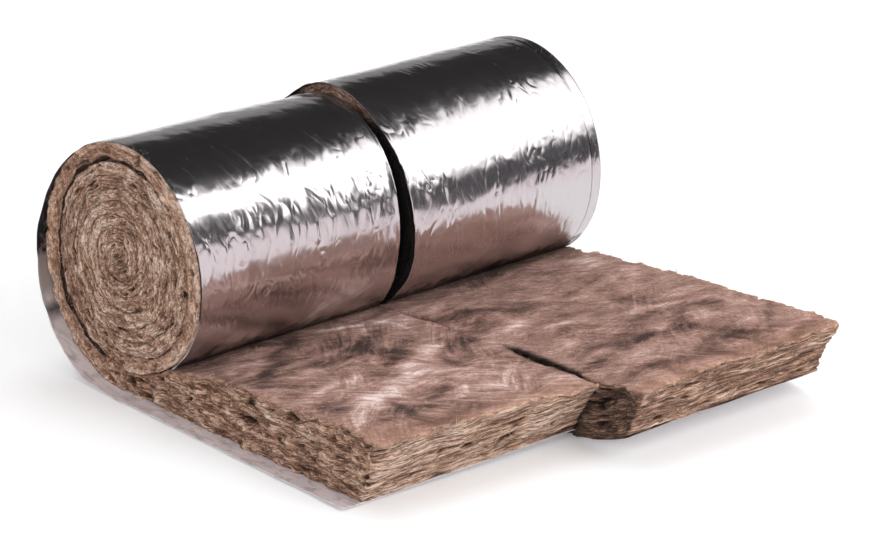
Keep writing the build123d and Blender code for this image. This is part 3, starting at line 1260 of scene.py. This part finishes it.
def fill(name, place, strength):
    """Even soft light from one side, which shows in no reflection."""
    sun = lamp("SUN", name, place, (0, 0, 0), strength)
    sun.data.angle = radians(50)
    sun.visible_glossy = False


camera((-6.2854, -7.0019, 3.8084), azimuth=-42.089, elevation=20.788, roll=1.700, lens=187.83)
floor()
world()
softbox("front_softbox", (1.9, -1.25, 2.15), (0.6, 0.15, 0.35), (3.4, 1.9), 30)
fill("left_fill", (-4.2, -2.6, 2.2), 0.85)
fill("front_fill", (1.6, -4.6, 1.8), 0.95)
fill("top_fill", (1.0, 1.6, 3.2), 1.0)

lavender = (0.95, 0.88, 0.90)
pale_grey = (0.95, 0.95, 0.95)
mid_grey = (0.30, 0.30, 0.30)
dark_grey = (0.05, 0.05, 0.055)
near_black = (0.03, 0.03, 0.03)
on_floor = 0.004
level_card("floor_card", -3, 12, -2.6, -0.70, on_floor, lavender)
level_card("right_floor_card", 0.72, 12, -0.70, 3, on_floor, pale_grey)
level_card("ceiling_card", -4, 11, -0.95, 8, 3.5, near_black)
upright_card("back_card", 8, (-6, -0.2, 3.5), (12, -0.2, 3.5), mid_grey)
upright_card("front_card", -2.6, (-3, on_floor, 1.42), (12, on_floor, 1.42), dark_grey)
upright_card("left_dark_card", -0.88, (-0.95, 0.98, 1.55), (0.89, 0.60, 1.55), dark_grey)
upright_card("left_pale_card", -0.88, (-0.95, on_floor, 0.98), (0.89, on_floor, 0.60), lavender)
upright_card("right_pale_card", -0.12, (0.20, 0.172, 0.262), (0.50, 0.250, 0.262), lavender)


# Making

wool = wool_material()
foil_skin = foil_material()
back_skin = facing_back_material()
loose = fibre_material()

# Strands listed one by one: their two ends in x and in length from the axis line, their width, and
# how light or dark they are.
left_strokes = [
    (-0.55, 0.75, -0.42, 0.66, 0.024, 1.7),
    (-0.42, 0.66, -0.33, 0.63, 0.020, 1.3),
    (-0.33, 0.63, -0.14, 0.51, 0.022, 1.7),
    (-0.14, 0.51, -0.03, 0.47, 0.020, 1.4),
    (-0.53, 0.56, -0.42, 0.52, 0.013, 1.5),
    (-0.42, 0.52, -0.31, 0.51, 0.011, 1.7),
    (-0.18, 0.22, -0.05, 0.24, 0.013, 1.4),
    (-0.05, 0.24, -0.05, 0.36, 0.012, 1.2),
    (-0.20, 0.75, -0.03, 0.79, 0.026, 1.2),
    (-0.20, 0.30, -0.18, 0.46, 0.034, -2.3),
    (-0.27, 0.22, -0.51, 0.41, 0.020, -1.8),
    (-0.49, 0.58, -0.52, 0.69, 0.026, -1.9),
    (-0.39, 0.69, -0.41, 0.83, 0.018, -1.7),
    (-0.30, 0.70, -0.20, 0.66, 0.014, -1.5),
    (-0.12, 0.54, -0.10, 0.70, 0.012, -1.4),
]
right_strokes = [
    (0.02, 0.35, 0.12, 0.37, 0.024, -2.0),
    (0.12, 0.37, 0.22, 0.45, 0.020, -1.8),
    (0.09, 0.51, 0.22, 0.49, 0.012, 1.8),
    (0.06, 0.44, 0.10, 0.46, 0.022, -1.5),
    (0.40, 0.70, 0.44, 0.73, 0.020, 1.4),
    (0.14, 0.80, 0.23, 0.83, 0.030, 1.3),
    (0.40, 0.58, 0.43, 0.60, 0.024, -1.2),
    (0.30, 0.90, 0.31, 0.98, 0.018, -1.9),
    (0.36, 0.79, 0.43, 0.94, 0.018, -1.0),
    (0.29, 0.78, 0.31, 0.79, 0.012, 1.6),
    (0.15, 0.62, 0.27, 0.63, 0.020, -1.0),
]
left_depths = (0.013, 0.008, 0.0065)
right_depths = (0.011, 0.013, 0.0065)
mat_left = mat("mat_left", left_end, left_slit, right_slit, left_depths, 1.25, left_strokes, 100)
mat_right = mat("mat_right", right_end, right_slit, left_slit, right_depths, 0.35, right_strokes, 300)
turns_left = turns("turns_left", left_end, left_slit, 500)
turns_right = turns("turns_right", right_end, right_slit, 600)
for piece in (mat_left, mat_right, turns_left, turns_right):
    piece.data.materials.append(wool)
facing_left = foil("facing_left", left_end, left_slit, True, [back_skin, foil_skin], 700)
facing_right = foil("facing_right", right_end, right_slit, False, [foil_skin], 800)
fibres_left = loose_fibres("fibres_left", [mat_left, turns_left], 6500, 900)
fibres_right = loose_fibres("fibres_right", [mat_right, turns_right], 5500, 901)
for piece in (fibres_left, fibres_right):
    piece.data.materials.append(loose)

for piece, slot, node in (
    (mat_left, "wool", "wool_left"),
    (turns_left, "wool", "wool_left"),
    (mat_right, "wool", "wool_right"),
    (turns_right, "wool", "wool_right"),
    (facing_left, "foil", "foil_left"),
    (facing_right, "foil", "foil_right"),
    (fibres_left, "wool", None),
    (fibres_right, "wool", None),
):
    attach(piece, "root")
    if node:
        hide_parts(node)
